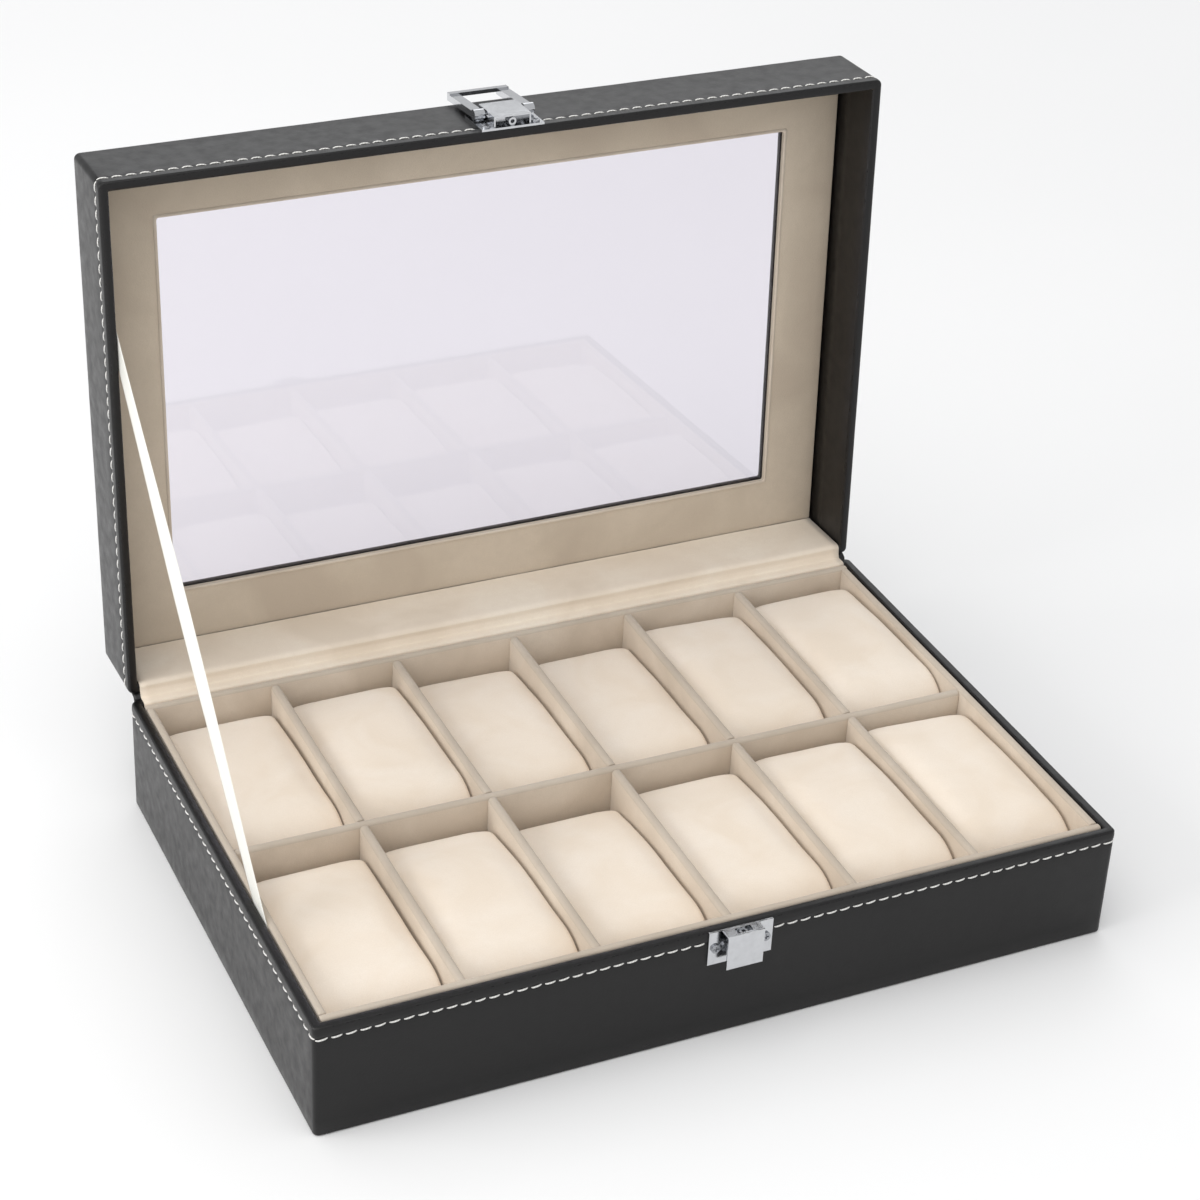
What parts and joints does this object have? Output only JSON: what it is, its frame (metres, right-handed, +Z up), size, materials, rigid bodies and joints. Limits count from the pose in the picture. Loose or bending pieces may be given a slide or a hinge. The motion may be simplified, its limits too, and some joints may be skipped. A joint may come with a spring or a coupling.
{
  "type": "watch box",
  "caption": "Leatherette box with a glazed hinged lid, a sprung clasp, a ribbon stay and a divided tray that holds watches on lift-out pillows.",
  "frame": {"origin": "centre of the underside of the base", "axes": "+X to the right along the front, +Y to the rear where the lid is hinged, +Z up"},
  "size_m": [0.3, 0.2502, 0.2511],
  "materials": {
    "leatherette": "satin, fine grain",
    "lining": "matt short-pile fabric",
    "velour": "soft velour",
    "board": "raw fibreboard",
    "felt": "matt felt",
    "satin": "satin ribbon",
    "glass": "clear, polished",
    "chrome": "polished plating"
  },
  "bodies": {
    "base": {"bottom_felt": "felt", "floor_board": "board", "base_front_board": "board", "base_back_board": "board", "base_left_board": "board", "base_right_board": "board", "base_cover": "leatherette", "liner_front": "lining", "liner_back": "lining", "liner_left": "lining", "liner_right": "lining", "tray_floor": "lining", "cross_divider": "lining", "divider_1": "lining", "divider_2": "lining", "divider_3": "lining", "divider_4": "lining", "divider_5": "lining", "keeper_plate": "chrome", "keeper_tube": "chrome", "keeper_screws": "chrome", "hinge_spine": "leatherette", "hinge_lining": "lining", "ribbon": "satin"},
    "lid": {"lid_top_board": "board", "lid_front_board": "board", "lid_back_board": "board", "lid_left_board": "board", "lid_right_board": "board", "lid_cover": "leatherette", "glass_pane": "glass", "lid_lining": "lining", "window_bead": "lining", "lid_back_lining": "lining", "clasp_plate": "chrome", "clasp_tube": "chrome", "clasp_screws": "chrome"},
    "hasp_slider": {"hinge_pin": "chrome", "clasp_spring": "chrome"},
    "hasp": {"hasp": "chrome"},
    "pillow_1": {"pillow_1": "velour"},
    "pillow_2": {"pillow_2": "velour"},
    "pillow_3": {"pillow_3": "velour"},
    "pillow_4": {"pillow_4": "velour"},
    "pillow_5": {"pillow_5": "velour"},
    "pillow_6": {"pillow_6": "velour"},
    "pillow_7": {"pillow_7": "velour"},
    "pillow_8": {"pillow_8": "velour"},
    "pillow_9": {"pillow_9": "velour"},
    "pillow_10": {"pillow_10": "velour"},
    "pillow_11": {"pillow_11": "velour"},
    "pillow_12": {"pillow_12": "velour"}
  },
  "joints": [
    {"name": "lid_hinge", "type": "hinge", "parent": "base", "child": "lid", "pos_m": [0, 0.101, 0.0456], "axis": [-1, 0, 0], "range_deg": [-92.5, 0], "deforming": ["hinge_spine", "hinge_lining", "ribbon"]},
    {"name": "hasp_pull", "type": "slide", "parent": "lid", "child": "hasp_slider", "axis": [0, -0.999, 0.0436], "range_m": [0, 0.0035], "stiffness_N_per_m": 400, "springref_m": -0.004},
    {"name": "hasp_hinge", "type": "hinge", "parent": "hasp_slider", "child": "hasp", "pos_m": [0.001, 0.12049, 0.24904], "axis": [-1, 0, 0], "range_deg": [-183.85, 0]},
    {"name": "pillow_lift_1", "type": "slide", "parent": "base", "child": "pillow_1", "axis": [0, 0, 1], "range_m": [0, 0.05]},
    {"name": "pillow_lift_2", "type": "slide", "parent": "base", "child": "pillow_2", "axis": [0, 0, 1], "range_m": [0, 0.05]},
    {"name": "pillow_lift_3", "type": "slide", "parent": "base", "child": "pillow_3", "axis": [0, 0, 1], "range_m": [0, 0.05]},
    {"name": "pillow_lift_4", "type": "slide", "parent": "base", "child": "pillow_4", "axis": [0, 0, 1], "range_m": [0, 0.05]},
    {"name": "pillow_lift_5", "type": "slide", "parent": "base", "child": "pillow_5", "axis": [0, 0, 1], "range_m": [0, 0.05]},
    {"name": "pillow_lift_6", "type": "slide", "parent": "base", "child": "pillow_6", "axis": [0, 0, 1], "range_m": [0, 0.05]},
    {"name": "pillow_lift_7", "type": "slide", "parent": "base", "child": "pillow_7", "axis": [0, 0, 1], "range_m": [0, 0.05]},
    {"name": "pillow_lift_8", "type": "slide", "parent": "base", "child": "pillow_8", "axis": [0, 0, 1], "range_m": [0, 0.05]},
    {"name": "pillow_lift_9", "type": "slide", "parent": "base", "child": "pillow_9", "axis": [0, 0, 1], "range_m": [0, 0.05]},
    {"name": "pillow_lift_10", "type": "slide", "parent": "base", "child": "pillow_10", "axis": [0, 0, 1], "range_m": [0, 0.05]},
    {"name": "pillow_lift_11", "type": "slide", "parent": "base", "child": "pillow_11", "axis": [0, 0, 1], "range_m": [0, 0.05]},
    {"name": "pillow_lift_12", "type": "slide", "parent": "base", "child": "pillow_12", "axis": [0, 0, 1], "range_m": [0, 0.05]}
  ]
}
